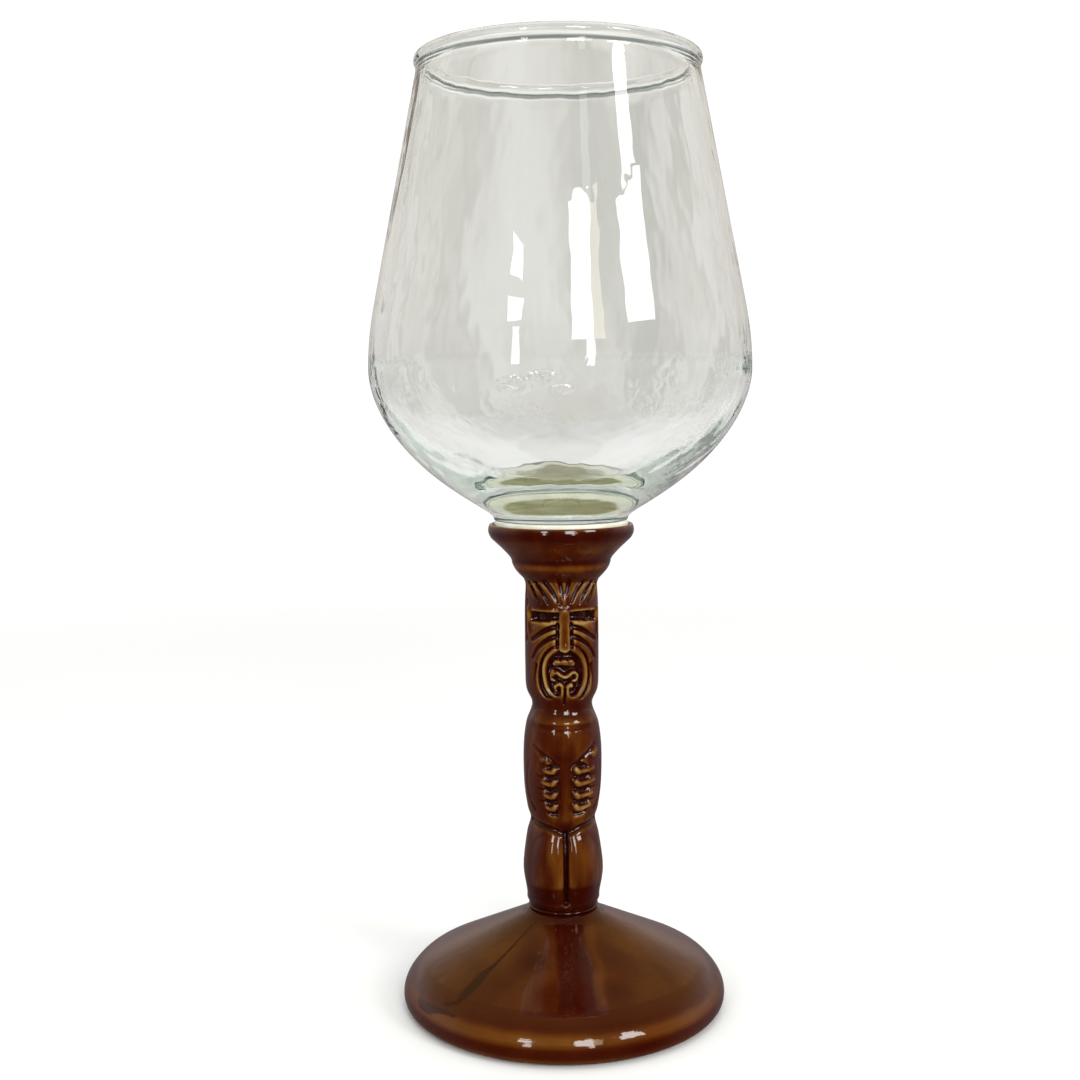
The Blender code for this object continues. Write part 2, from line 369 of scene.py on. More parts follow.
def widen(piece, points, reach, more):
    """Moves points, reach mm from the axis, outwards by more mm, and puts them into the piece."""
    keep = np.where(reach > 0.5, (reach + more) / np.maximum(reach, 0.5), 1.0)
    points[:, :2] *= keep[:, None]
    set_points(piece, points)


def blend(places, table):
    """Reads a table of (place, value) at each place, blending between its rows."""
    return np.interp(places, [row[0] for row in table], [row[1] for row in table])


def report(piece):
    """Says how big a piece came out."""
    points = points_of(piece)
    low, high = points.min(axis=0), points.max(axis=0)
    faces = sum(len(face.vertices) - 2 for face in piece.data.polygons)
    print(piece.name, "is", [round(v, 1) for v in high - low], "mm, from z", round(low[2], 1), "to",
        round(high[2], 1), "with", faces, "triangles")


def wrap_up(piece, node, material):
    """Finishes a piece: its material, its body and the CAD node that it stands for."""
    piece.data.materials.clear()
    piece.data.materials.append(material)
    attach(piece, "root")
    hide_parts(node)
    report(piece)


print("outline helpers are ready")

# %% [markdown]
# ## The wine bowl
# The bowl is soda-lime glass, blown thin in a turning mould and fire-polished at the rim, which
# leaves a small round bead. Below the belly the wall thickens into a heavy clear base. The
# inner and the outer skin are one closed line, because light has to enter and leave real glass.

# %% Sizes of the bowl from the frame
low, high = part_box("glass_bowl")
PAD_HEIGHT = low[2] / MM
RIM_TOP = high[2] / MM
BELLY_RADIUS = high[0] / MM
INNER_FLOOR = PAD_HEIGHT + 7.8
BELLY_HEIGHT = PAD_HEIGHT + 37.0
RIM_RADIUS = BELLY_RADIUS - 12.0
RIM_BEAD = 1.6
PAD_RADIUS = BELLY_RADIUS - 30.0
GLASS_WALL = 1.9
print("bowl from z", round(PAD_HEIGHT, 1), "to", round(RIM_TOP, 1), "mm, belly radius",
    round(BELLY_RADIUS, 1), "mm")

# %% Outline of the bowl
bead = (RIM_RADIUS - RIM_BEAD, RIM_TOP - RIM_BEAD)
wall_top = (RIM_RADIUS - 0.4, RIM_TOP - 3.8)
wall_end = (BELLY_RADIUS - 1.5, BELLY_HEIGHT + 15.0)
belly = (BELLY_RADIUS, BELLY_HEIGHT)
inner_belly = (BELLY_RADIUS - 2.2, BELLY_HEIGHT + 2.0)
heel = (26.7, PAD_HEIGHT + 7.9)
pad_edge = (PAD_RADIUS, PAD_HEIGHT + 0.9)

# The inside of the bowl: how far out, and how high above the pad.
INSIDE = [(0.0, 7.8), (9.0, 8.05), (17.0, 9.4), (24.0, 12.2), (30.0, 16.0), (36.0, 21.2), (40.5, 26.9),
    (43.2, 32.8), (44.4, 39.0)]
bowl_line = smooth_line([(out, PAD_HEIGHT + up) for out, up in INSIDE], 1.6)
bowl_line += bezier(inner_belly, (inner_belly[0], inner_belly[1] + 4.6), (44.2, wall_end[1] - 4.4),
    (wall_end[0] - GLASS_WALL, wall_end[1]), 8)
bowl_line += straight(bowl_line[-1], (wall_top[0] - GLASS_WALL, wall_top[1] - 0.8), 24)
bowl_line += arc(bead, RIM_BEAD, 205, -48, 22)
bowl_line.append((wall_top[0], wall_top[1] - 0.6))
bowl_line += straight(bowl_line[-1], wall_end, 24)
bowl_line += bezier(wall_end, (46.2, wall_end[1] - 5.9), (BELLY_RADIUS, BELLY_HEIGHT + 4.9), belly, 10)
bowl_line += bezier(belly, (BELLY_RADIUS, BELLY_HEIGHT - 8.3), (40.1, PAD_HEIGHT + 17.1), heel, 24)
bowl_line += bezier(heel, (20.5, PAD_HEIGHT + 3.6), (17.2, PAD_HEIGHT + 2.2), pad_edge, 12)
bowl_line += bezier(pad_edge, (PAD_RADIUS, PAD_HEIGHT + 0.4), (PAD_RADIUS - 0.2, PAD_HEIGHT),
    (PAD_RADIUS - 0.8, PAD_HEIGHT), 4)
bowl_line += straight(bowl_line[-1], (0.0, PAD_HEIGHT), 6)
print("bowl outline has", len(bowl_line), "points")

# %% Turn the bowl
blown_bowl = draw_outline("blown_bowl", bowl_line)
spin_outline(blown_bowl, [(360.0, 192)])
report(blown_bowl)

# %% [markdown]
# Blown glass is never quite even. The inner wall wanders a little, and the heel, where the hot
# glass was pressed into the base of the mould, has small folds. They are what makes the heel
# sparkle, so they are moved into the mesh with sums of a few slow waves.

# %% Waves in the glass
glass_points = points_of(blown_bowl)
turn, reach, rise = round_the_axis(glass_points)
turn = np.radians(turn)
skin_heights = [PAD_HEIGHT + up for out, up in INSIDE] + [wall_end[1], RIM_TOP - 4.0]
skin_reaches = [out for out, up in INSIDE] + [wall_end[0] - GLASS_WALL, wall_top[0] - GLASS_WALL]
inner_skin = np.interp(rise, skin_heights, skin_reaches)
is_inner = (reach < inner_skin + 0.9) & (rise > INNER_FLOOR - 0.1) & (rise < RIM_TOP - 4.5)
wander = 0.06 * np.sin(3 * turn + 0.05 * rise) + 0.04 * np.sin(7 * turn - 0.11 * rise + 1.3)
wander += 0.02 * np.sin(13 * turn + 0.23 * rise + 0.4)
fade_rim = np.clip((RIM_TOP - 10.0 - rise) / 30.0, 0.0, 1.0)
heel_zone = np.exp(-((rise - (PAD_HEIGHT + 16.0)) / 5.0) ** 2)
folds = 0.13 * np.sin(19 * turn + 0.9 * rise) * np.sin(0.8 * rise + 5 * turn)
folds += 0.09 * np.sin(31 * turn - 1.3 * rise + 0.7)
calm_floor = np.clip((reach - 20.0) / 12.0, 0.0, 1.0)
at_sides = np.abs(np.sin(turn)) ** 2
shift = np.where(is_inner, (wander * fade_rim + folds * heel_zone * at_sides) * calm_floor, 0.0)
widen(blown_bowl, glass_points, reach, shift)
print("inner wall wanders by up to", round(float(np.abs(shift).max()), 2), "mm")

# %% [markdown]
# ## Clear glass
# Soda-lime glass has an index of 1.52 and is polished by fire, so its roughness is almost none.
# Iron in the sand gives thick glass a faint aqua tint, which the base shows and the wall hardly
# does. Light that reaches other parts through the bowl passes straight on, so that the glass
# casts only a faint shadow.

# %% Material of the bowl
clear_glass, tree, place = new_material("blown_soda_lime_glass")
drawn = add_node(tree, "Mapping", {"Scale": (105.0, 105.0, 48.0)}, {"Vector": place})
ripple = add_node(tree, "TexNoise", {"Scale": 1.0, "Detail": 2.0}, {"Vector": drawn})
# Chill wrinkles, two to four millimetres apart, in patches round the turn of the belly.
axes = add_node(tree, "SeparateXYZ", {}, {0: place})
wrinkle = add_node(tree, "TexNoise", {"Scale": 380.0, "Detail": 1.0, "Distortion": 0.6}, {"Vector": place})
patchy = add_node(tree, "TexNoise", {"Scale": 75.0, "Detail": 0.0}, {"Vector": place})
patches = add_node(tree, "MapRange", {"From Min": 0.52, "From Max": 0.66}, {"Value": patchy.outputs["Fac"]},
    **SOFTLY)
off_belt = add_node(tree, "Math", {1: (BELLY_HEIGHT - 4.0) * MM}, {0: axes.outputs["Z"]},
    operation="SUBTRACT")
off_belt = add_node(tree, "Math", {}, {0: off_belt}, operation="ABSOLUTE")
belt = add_node(tree, "MapRange", {"From Min": 3.0 * MM, "From Max": 9.0 * MM, "To Min": 1.0,
    "To Max": 0.0}, {"Value": off_belt}, **SOFTLY)
where = add_node(tree, "Math", {}, {0: patches, 1: belt}, operation="MULTIPLY")
# A few stronger marks, where a cold shear or a drip of mould oil touched the hot glass.
for angle, up, size in ((-17, -4.0, 5.0), (-9, -2.5, 4.0), (-4, -5.0, 3.0)):
    turn = math.radians(angle)
    centre = (BELLY_RADIUS * math.sin(turn) * MM, -BELLY_RADIUS * math.cos(turn) * MM,
        (BELLY_HEIGHT + up) * MM)
    apart = add_node(tree, "VectorMath", {1: centre}, {0: place}, operation="SUBTRACT")
    apart = add_node(tree, "VectorMath", {1: (1.0, 1.0, 2.2)}, {0: apart}, operation="MULTIPLY")
    apart = add_node(tree, "VectorMath", {}, {0: apart}, operation="LENGTH")
    mark = add_node(tree, "MapRange", {"From Min": 0.5 * size * MM, "From Max": size * MM, "To Min": 5.0,
        "To Max": 0.0}, {"Value": apart.outputs["Value"]}, **SOFTLY)
    where = add_node(tree, "Math", {}, {0: where, 1: mark}, operation="ADD")
folded = add_node(tree, "Math", {}, {0: wrinkle.outputs["Fac"], 1: where}, operation="MULTIPLY")
height = add_node(tree, "Math", {1: 0.8}, {0: folded, 2: ripple.outputs["Fac"]}, operation="MULTIPLY_ADD")
bump = add_node(tree, "Bump", {"Strength": 0.45, "Distance": 0.3 * MM}, {"Height": height})
# The crease below the rim bead gets a fine dark line all round, painted shade put into the colour of the
# glass.
below_bead = add_node(tree, "Math", {1: (RIM_TOP - 3.3) * MM}, {0: axes.outputs["Z"]}, operation="SUBTRACT")
below_bead = add_node(tree, "Math", {}, {0: below_bead}, operation="ABSOLUTE")
painted_crease_shade = add_node(tree, "MapRange", {"From Min": 0.15 * MM, "From Max": 0.5 * MM}, {"Value": below_bead})
clear = add_node(tree, "ValToRGB", {}, {0: painted_crease_shade})
set_ramp(clear, [(0.0, "5a5f60"), (1.0, "fafafa")])
glass = add_node(tree, "BsdfPrincipled", {"Roughness": 0.0, "IOR": 1.52, "Transmission Weight": 1.0},
    {"Base Color": clear, "Normal": bump})
pass_on = add_node(tree, "BsdfTransparent", {"Color": colour("eef2f0")})
rays = add_node(tree, "LightPath")
shown = add_node(tree, "MixShader", {}, {0: rays.outputs["Is Shadow Ray"], 1: glass, 2: pass_on})
tint = add_node(tree, "VolumeAbsorption", {"Color": colour("c4dcd2"), "Density": 7.0})
add_node(tree, "OutputMaterial", {}, {"Surface": shown, "Volume": tint})
wrap_up(blown_bowl, "glass_bowl", clear_glass)

# %% [markdown]
# ## The cement bed
# A pale filler cement holds the bowl in the collar's seat. It was pressed out by the weight of
# the glass, so a thin cream bead of it shows all round. Seen down through the glass, the bed
# itself is painted olive in the middle, a painted reflection of the seat in the floor of the bowl.

# %% Turn the cement bed
low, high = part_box("bowl_adhesive")
BED_BOTTOM = low[2] / MM
BED_RADIUS = high[0] / MM
BED_TOP = PAD_HEIGHT + 0.06
bed_line = [(0.0, BED_BOTTOM)]
bed_line += straight(bed_line[-1], (BED_RADIUS - 0.9, BED_BOTTOM), 8)
bed_line += bezier(bed_line[-1], (BED_RADIUS - 0.2, BED_BOTTOM), (BED_RADIUS + 0.2, BED_BOTTOM),
    (BED_RADIUS + 0.25, BED_BOTTOM + 0.6), 6)
bed_line += bezier(bed_line[-1], (BED_RADIUS + 0.25, BED_TOP - 0.4), (BED_RADIUS + 0.1, BED_TOP + 0.05),
    (BED_RADIUS - 0.3, BED_TOP), 7)
bed_line += straight(bed_line[-1], (0.0, BED_TOP), 12)
cement_bed = draw_outline("cement_bed", bed_line)
spin_outline(cement_bed, [(360.0, 160)])

bed_points = points_of(cement_bed)
turn, reach, rise = round_the_axis(bed_points)
turn = np.radians(turn)
uneven = 0.10 * np.sin(5 * turn + 0.6) + 0.07 * np.sin(11 * turn + 2.0) + 0.05 * np.sin(23 * turn)
edge = np.clip((reach - BED_RADIUS + 0.9) / 0.9, 0.0, 1.0)
widen(cement_bed, bed_points, reach, uneven * edge * reach / BED_RADIUS)
print("bed radius", round(BED_RADIUS, 1), "mm")

# %% Material of the cement
cement, tree, place = new_material("troweled_filler_cement")
axes = add_node(tree, "SeparateXYZ", {}, {0: place})
flat = add_node(tree, "CombineXYZ", {}, {"X": axes.outputs["X"], "Y": axes.outputs["Y"]})
reach_node = add_node(tree, "VectorMath", {}, {0: flat}, operation="LENGTH")
blotch = add_node(tree, "TexNoise", {"Scale": 180.0, "Detail": 4.0}, {"Vector": place})
wobble = add_node(tree, "Math", {1: 1.8 * MM}, {0: blotch.outputs["Fac"]}, operation="MULTIPLY")
edge_reach = add_node(tree, "Math", {}, {0: reach_node.outputs["Value"], 1: wobble}, operation="ADD")
ring = add_node(tree, "MapRange", {"From Min": 12.4 * MM, "From Max": 14.0 * MM},
    {"Value": edge_reach}, **SOFTLY)
# The olive in the middle is painted reflection of the seat; the cream outside is the cement's own colour.
olive_painted_reflection = add_node(tree, "ValToRGB", {}, {0: blotch.outputs["Fac"]})
set_ramp(olive_painted_reflection, [(0.30, "8a8664"), (0.55, "a6a07c"), (0.75, "b8b08c")])
cream_cement = add_node(tree, "ValToRGB", {}, {0: blotch.outputs["Fac"]})
set_ramp(cream_cement, [(0.30, "e2dcc6"), (0.70, "f6f2e4")])
shade = add_node(tree, "Mix", {}, {0: ring, 6: olive_painted_reflection, 7: cream_cement}, data_type="RGBA")
grain = add_node(tree, "TexNoise", {"Scale": 2200.0, "Detail": 2.0}, {"Vector": place})
bump = add_node(tree, "Bump", {"Strength": 0.4, "Distance": 0.2 * MM}, {"Height": grain.outputs["Fac"]})
body = add_node(tree, "BsdfPrincipled", {"Roughness": 0.55, "IOR": 1.5},
    {"Base Color": shade.outputs[2], "Normal": bump})
add_node(tree, "OutputMaterial", {}, {"Surface": body})
wrap_up(cement_bed, "bowl_adhesive", cement)

# %% [markdown]
# ## The carved stem
# The stem was slip-cast in a mould taken from a carving, and then dipped in a runny brown
# glaze. Its skin is turned first, much finer than the other parts and finest at the front. The
# relief is then carved by moving each point in or out. A table of strokes says where: each
# stroke is a curved line over the surface, in degrees round from the face and millimetres up.
# This follows the carver's hand better than joining many small solids would.

# %% Outline of the stem
low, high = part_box("tiki_stem")
STEM_BOTTOM = low[2] / MM
SEAT_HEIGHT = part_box("bowl_adhesive")[0][2] / MM - 0.3
STEM_KNOTS = [(8.6, 25.6), (8.9, 26.9), (9.3, 29.0), (10.1, 35.0), (9.1, 43.4), (8.1, 47.4), (8.9, 50.6),
    (9.65, 56.5), (9.8, 65.0), (9.1, 71.6), (7.5, 76.6), (8.9, 80.6), (9.15, 86.0), (9.15, 98.0),
    (9.05, 103.0), (8.9, 106.5), (9.3, 108.0), (11.2, 110.1), (12.1, 111.7), (12.35, 112.8), (12.95, 113.8),
    (14.7, 115.7), (16.4, 117.3), (17.4, 118.3), (17.9, 119.3), (18.05, 120.1), (17.98, 120.7),
    (17.86, 121.15)]

COLLAR_KNOT = 16
COLLAR_BOTTOM = STEM_KNOTS[COLLAR_KNOT][1]
figure = smooth_line(STEM_KNOTS[:COLLAR_KNOT + 1], 0.225)
collar = smooth_line(STEM_KNOTS[COLLAR_KNOT:], 0.45)
stem_line = [(0.0, STEM_BOTTOM)]
stem_line += straight(stem_line[-1], (8.2, STEM_BOTTOM), 3)
stem_line += figure + collar[1:]
stem_line += bezier(stem_line[-1], (17.8, 121.4), (17.7, 121.64), (17.3, 121.64), 6)
stem_line += bezier(stem_line[-1], (16.95, 121.6), (16.85, 121.3), (16.8, SEAT_HEIGHT), 5)
stem_line += straight(stem_line[-1], (0.0, SEAT_HEIGHT), 5)
print("stem outline has", len(stem_line), "points, the figure", len(figure))

# %% Turn the stem
FRONT_STEPS = 132
BACK_STEPS = 84
carved_stem = draw_outline("carved_stem", stem_line)
spin_outline(carved_stem, [(180.0, FRONT_STEPS), (180.0, BACK_STEPS)])
report(carved_stem)
print("points at the front:", int((points_of(carved_stem)[:, 1] < 0).sum()), "and at the back:",
    int((points_of(carved_stem)[:, 1] > 0).sum()))

# %% The carving sheet
# The skin of the figure is unrolled into a sheet of heights: a row for each fifth of a
# millimetre up, and a column for each three quarters of a degree round from the face.
ROW_STEP = 0.2
COLUMN_STEP = 0.75
SHEET_LOW = STEM_BOTTOM
SHEET_HIGH = 110.0
row_heights = np.arange(SHEET_LOW, SHEET_HIGH, ROW_STEP)
column_angles = np.arange(-180.0, 180.0, COLUMN_STEP)
knot_heights = [knot[1] for knot in STEM_KNOTS]
knot_radii = [knot[0] for knot in STEM_KNOTS]
sheet = np.zeros((len(row_heights), len(column_angles)))
print("carving sheet", sheet.shape)


# %% Carving tools
def near_line(points, reach):
    """Distances in mm from the sheet's cells to a curved line, and how far along it each is.

    It gives back a window of the sheet (rows, columns) and the two arrays for that window."""
    line = smooth_line(points, 2.0) if len(points) > 2 else [tuple(map(float, p)) for p in points]
    middle = float(np.mean([p[1] for p in line]))
    scale = math.radians(float(np.interp(middle, knot_heights, knot_radii)))
    centre = float(np.mean([p[0] for p in line]))
    rows = np.where((row_heights > min(p[1] for p in line) - reach)
        & (row_heights < max(p[1] for p in line) + reach))[0]
    offsets = (column_angles - centre + 180.0) % 360.0 - 180.0
    wide = max(abs(p[0] - centre) for p in line) + reach / scale
    columns = np.where(np.abs(offsets) < wide)[0]
    across = offsets[columns][None, :] * scale
    up = row_heights[rows][:, None]
    best = np.full((len(rows), len(columns)), 1e9)
    along = np.zeros_like(best)
    for i, (a, b) in enumerate(zip(line, line[1:])):
        ax, bx = (a[0] - centre) * scale, (b[0] - centre) * scale
        dx, dz = bx - ax, b[1] - a[1]
        t = ((across - ax) * dx + (up - a[1]) * dz) / max(dx * dx + dz * dz, 1e-9)
        t = np.clip(t, 0.0, 1.0)
        distance = np.hypot(across - ax - t * dx, up - a[1] - t * dz)
        closer = distance < best
        best[closer] = distance[closer]
        along[closer] = ((i + t) / (len(line) - 1))[closer]
    return np.ix_(rows, columns), best, along


def rounded(distance, half_width, sharpness):
    """A rounded profile: 1 at the middle of a stroke and 0 at its edge."""
    return np.clip(1.0 - (distance / half_width) ** 2, 0.0, 1.0) ** sharpness


def start_and_end(size):
    """The two sizes of a stroke: a pair as it is, or one number twice."""
    return size if isinstance(size, tuple) else (size, size)


def cut(points, half_width, depth, sharpness=0.45):
    """Cuts a groove. half_width and depth are (start, end) pairs or numbers."""
    change_stroke(points, half_width, depth, sharpness, -1.0)


def change_stroke(points, half_width, depth, sharpness, sign):
    """Adds a stroke to the sheet, or cuts it when the sign is negative."""
    widths = start_and_end(half_width)
    depths = start_and_end(depth)
    window, distance, along = near_line(points, max(widths) + 0.3)
    wide = widths[0] + (widths[1] - widths[0]) * along
    deep = depths[0] + (depths[1] - depths[0]) * along
    shape = sign * deep * rounded(distance, wide, sharpness)
    if sign < 0:
        sheet[window] = np.minimum(sheet[window], shape)
    else:
        sheet[window] += shape


def raise_on(points, half_width, level, height, sharpness=0.45):
    """Lays a rounded ridge that stands on a floor at the level given."""
    widths = start_and_end(half_width)
    window, distance, along = near_line(points, max(widths) + 0.3)
    wide = widths[0] + (widths[1] - widths[0]) * along
    shape = level + height * rounded(distance, wide, sharpness)
    inside = distance < wide
    sheet[window] = np.where(inside, np.maximum(sheet[window], shape), sheet[window])


def swell(points, half_width, height, sharpness=1.5):
    """Adds a soft swelling."""
    change_stroke(points, half_width, height, sharpness, 1.0)


def sink(outline, depth):
    """Sinks the inside of a closed outline to a flat floor."""
    shape = smooth_line(outline + [outline[0]], 2.0)
    angles, ups = np.meshgrid(column_angles, row_heights)
    inside = np.zeros(sheet.shape, bool)
    for a, b in zip(shape, shape[1:]):
        crosses = (a[1] > ups) != (b[1] > ups)
        at = a[0] + (ups - a[1]) / (b[1] - a[1] if b[1] != a[1] else 1e-9) * (b[0] - a[0])
        inside ^= crosses & (angles < at)
    sheet[inside] = np.minimum(sheet[inside], -depth)


def on_both(tool, points, *sizes):
    """Uses a tool along a line and along its mirror image across the face."""
    for line in (points, [(-angle, height) for angle, height in points]):
        tool(line, *sizes)


print("carving tools are ready")

# %% Carve the mouth
sink([(-10, 92.6), (-22, 91.9), (-33, 90.4), (-41, 88.2), (-45, 85.6), (-44, 82.6), (-38, 80.2),
    (-27, 79.2), (0, 79.9), (28, 79.0), (39, 80.2), (45, 82.6), (47, 85.6), (43, 88.2), (34, 90.6),
    (23, 92.0), (12, 92.6), (0, 90.4)], 1.25)
sink([(-8, 90.6), (-20, 89.6), (-27, 87.0), (-26, 83.6), (-18, 80.9), (0, 80.4), (19, 80.6), (28, 83.4),
    (29, 87.0), (22, 89.6), (9, 90.6)], 1.75)
LOOP_LEFT = [(-8, 92.1), (-20, 90.9), (-30, 89.1), (-34.5, 86.6), (-33, 83.9), (-28, 81.4), (-18, 79.8),
    (-8, 79.5), (-3.4, 80.6), (-4, 82.2), (-9, 82.9), (-15.5, 82.3)]
LOOP_RIGHT = [(12, 91.9), (23, 90.7), (32, 88.8), (36.5, 86.3), (35.5, 83.4), (29, 81.0), (20, 79.4),
    (9, 79.3), (4, 80.6), (4, 82.0), (9.5, 82.7)]
raise_on(LOOP_LEFT, (0.88, 0.70), -1.7, 1.80)
raise_on(LOOP_RIGHT, (1.10, 0.74), -1.7, 1.80)
raise_on([(-15.5, 82.2), (-14.5, 81.2)], 0.62, -1.7, 1.55)
raise_on([(10, 82.6), (11, 82.4)], 0.70, -1.7, 1.75)
raise_on([(-16.5, 88.0), (-9, 88.2), (0, 88.1), (13.5, 87.9)], 0.86, -1.9, 1.75, 0.35)
for angle in (-12.5, -1.0, 9.5):
    raise_on([(angle - 2.0, 88.5), (angle + 2.0, 88.5)], 0.74, -1.9, 1.85, 0.5)
raise_on([(-19, 86.3), (-23.0, 85.4), (-22.0, 84.1), (-16.5, 83.8)], (0.60, 0.55), -1.9, 1.75)
raise_on([(-20.5, 85.2), (-13, 85.7), (-6, 85.0), (0, 84.6), (6, 84.9), (12, 85.6), (17.5, 85.6),
    (21.0, 84.8), (19.0, 83.9), (14, 83.7)], (0.78, 0.64), -1.9, 1.85)
cut([(0, 79.6), (0.3, 81.8)], 0.22, 1.3)
cut([(-1, 77.9), (0, 79.3)], (0.5, 0.3), (0.35, 0.8))

# %% Carve the cheeks, eyes and nose
on_both(cut, [(10.5, 97.2), (24, 96.6), (38, 95.5), (57, 93.6)], (0.68, 0.56), (1.25, 0.6))
on_both(cut, [(10.5, 94.9), (23, 94.2), (37, 92.8), (48, 91.1), (56, 89.0)], (0.70, 0.46), (1.25, 0.4))
on_both(cut, [(11.5, 98.0), (11.5, 92.0)], 0.42, 1.1)
for side in (-1, 1):
    sink([(side * 9.5, 98.75), (side * 61, 98.2), (side * 61, 100.35), (side * 9.5, 100.5)][::side], 1.9)
    cut([(side * 47.5, 87.6), (side * 51, 84.5), (side * 49.5, 81.5)], (0.30, 0.15), (0.6, 0.1))
on_both(swell, [(8, 100.95), (30, 101.0), (56, 100.75)], 0.42, 0.16)
on_both(swell, [(12, 98.1), (30, 97.7), (52, 96.3)], 0.75, 0.22)
on_both(swell, [(66.5, 95.2), (67.5, 98.5), (66, 102.2)], 0.85, 0.48)
on_both(cut, [(75, 93.0), (76, 98.5), (74, 103.0)], 0.55, 0.5, 1.0)
raise_on([(0.0, 100.6), (0.0, 97.0), (0.0, 92.0)], (1.05, 1.45), -0.1, 0.62, 0.3)
swell([(0.0, 103.0), (0.0, 101.2)], 1.7, 0.30, 1.0)
swell([(0.0, 91.8), (0.0, 91.2)], 1.5, 0.18)
cut([(-7, 90.2), (0, 90.0), (7, 90.2)], 0.35, 1.4)

# %% Carve the hair
on_both(cut, [(7.5, 108.1), (3.0, 105.1)], (0.60, 0.25), (1.2, 0.4))
on_both(cut, [(31, 108.0), (18, 105.4), (11.0, 103.2)], (0.74, 0.30), (1.35, 0.5))
on_both(cut, [(50, 107.6), (33, 104.8), (24.0, 102.8)], (0.72, 0.30), (1.35, 0.5))
on_both(cut, [(66, 107.2), (52, 104.8), (39.0, 102.8)], (0.74, 0.32), (1.35, 0.45))
on_both(swell, [(20, 107.9), (8.5, 104.6)], 0.45, 0.15)
for number in range(7):
    angle = 84 + 16 * number
    for side in (-1, 1):
        cut([(side * angle, 108.0), (side * (angle - 2), 103.0), (side * (angle + 2), 96.0)],
            (0.62, 0.22), (0.85, 0.15))

# %% Carve the neck, arms and hands
swell([(-60, 73.9), (-30, 73.4), (0, 73.1), (30, 73.3), (60, 73.8)], 1.9, 0.30)
cut([(-38, 71.9), (0, 71.3), (38, 71.7)], 0.55, (0.10, 0.10), 1.2)
cut([(-52, 67.3), (-40, 66.2), (-28, 64.7), (-13, 62.6)], (0.6, 0.9), (0.15, 0.5), 1.3)
cut([(50, 67.6), (40, 66.2), (26, 64.6), (11, 62.3)], (0.6, 1.0), (0.2, 0.6), 1.3)
for side in (-1, 1):
    cut([(side * 98, 71.8), (side * 93, 64.0), (side * 99, 56.0), (side * 112, 52.5)],
        (0.5, 0.6), (0.35, 0.6), 0.8)
    cut([(side * 62, 63.0), (side * 70, 58.0), (side * 66, 53.5), (side * 54, 50.8)],
        (0.35, 0.5), (0.15, 0.4), 0.9)
FINGER_HEIGHTS = (61.3, 58.2, 55.0, 51.9)
sink([(-12.5, 63.2), (-28, 62.6), (-31, 57.0), (-29, 50.6), (-16, 50.0), (-12.5, 51.0)], 0.72)
sink([(12.0, 63.0), (32, 62.8), (38, 57.0), (35, 50.8), (16, 50.0), (12.0, 51.0)], 0.76)
for number, height in enumerate(FINGER_HEIGHTS):
    reach = (32, 35, 32, 30)[number]
    raise_on([(-15.4, height + 0.50), (-16.8, height + 0.1), (-20, height - 0.2), (-27, height - 0.15),
        (-reach, height + 0.2)], (1.0, 0.68), -0.8, 1.22, 0.6)
    swell([(-15.6, height + 0.5), (-17.2, height + 0.25)], 0.8, 0.30, 0.8)
    reach = (45, 47, 44, 42)[number]
    raise_on([(14.6, height + 0.50), (16.4, height + 0.1), (20, height - 0.2), (29, height - 0.15),
        (reach, height + 0.35)], (1.08, 0.66), -0.8, 1.26, 0.6)
    swell([(14.8, height + 0.5), (17.0, height + 0.25)], 0.85, 0.32, 0.8)
    if number:
        cut([(-24, height + 1.55), (-44, height + 1.75)], (0.42, 0.2), (0.9, 0.1))
        cut([(27, height + 1.55), (56, height + 1.9)], (0.5, 0.2), (1.0, 0.1))
swell([(45, 65.2), (50, 65.6)], 1.1, 0.62, 0.8)
swell([(-35, 64.0), (-31, 64.4)], 0.8, 0.45, 0.8)
swell([(-26, 63.7), (-20, 63.2)], 0.8, 0.35, 0.8)

# %% Carve the legs and the back
cut([(-75, 47.6), (-58, 47.2), (-28, 46.5), (0, 45.3), (28, 46.7), (58, 47.3), (75, 47.6)], 0.8, 0.55, 1.0)
cut([(105, 47.8), (150, 47.0), (180, 46.0), (210, 47.0), (255, 47.8)], 0.8, 0.5, 1.0)
cut([(180, 71.0), (180, 50.0)], 0.9, 0.3, 1.2)
for middle in (0.0, 180.0):
    window, distance, along = near_line([(middle, 45.6), (middle, 28.4)], 3.2)
    sheet[window] -= 0.75 * np.exp(-((distance / 1.25) ** 2))
    cut([(middle, 45.2), (middle, 36.0), (middle, 27.6)], (0.60, 0.56), (2.6, 1.5), 0.4)
    for side in (-1, 1):
        swell([(middle + side * 27, 39.5), (middle + side * 28, 34.0)], 5.4, 0.68, 1.2)
for side in (-1, 1):
    cut([(side * 88, 45.0), (side * 90, 36.0), (side * 88, 29.0)], 1.6, 0.35, 1.5)
swell([(angle, 27.0) for angle in range(-180, 181, 30)], 0.8, 0.22)
print("deepest cut", round(float(sheet.min()), 2), "mm, highest", round(float(sheet.max()), 2))


# %% Glaze flows over the carving
FIGURE_RADIUS = 9.15


def soften(values, size):
    """Blurs a sheet by a size in mm: round the figure it wraps, up and down it does not."""
    for axis, step in ((0, ROW_STEP), (1, math.radians(COLUMN_STEP) * FIGURE_RADIUS)):
        reach = max(1, int(3 * size / step))
        taps = np.exp(-0.5 * (np.arange(-reach, reach + 1) * step / size) ** 2)
        taps /= taps.sum()
        mode = "edge" if axis == 0 else "wrap"
        padding = [(reach, reach) if a == axis else (0, 0) for a in (0, 1)]
        padded = np.pad(values, padding, mode=mode)
        count = values.shape[axis]
        values = sum(tap * padded.take(range(i, i + count), axis=axis) for i, tap in enumerate(taps))
    return values


pooled = np.zeros_like(sheet)
sheet_angles, sheet_ups = np.meshgrid(column_angles, row_heights)


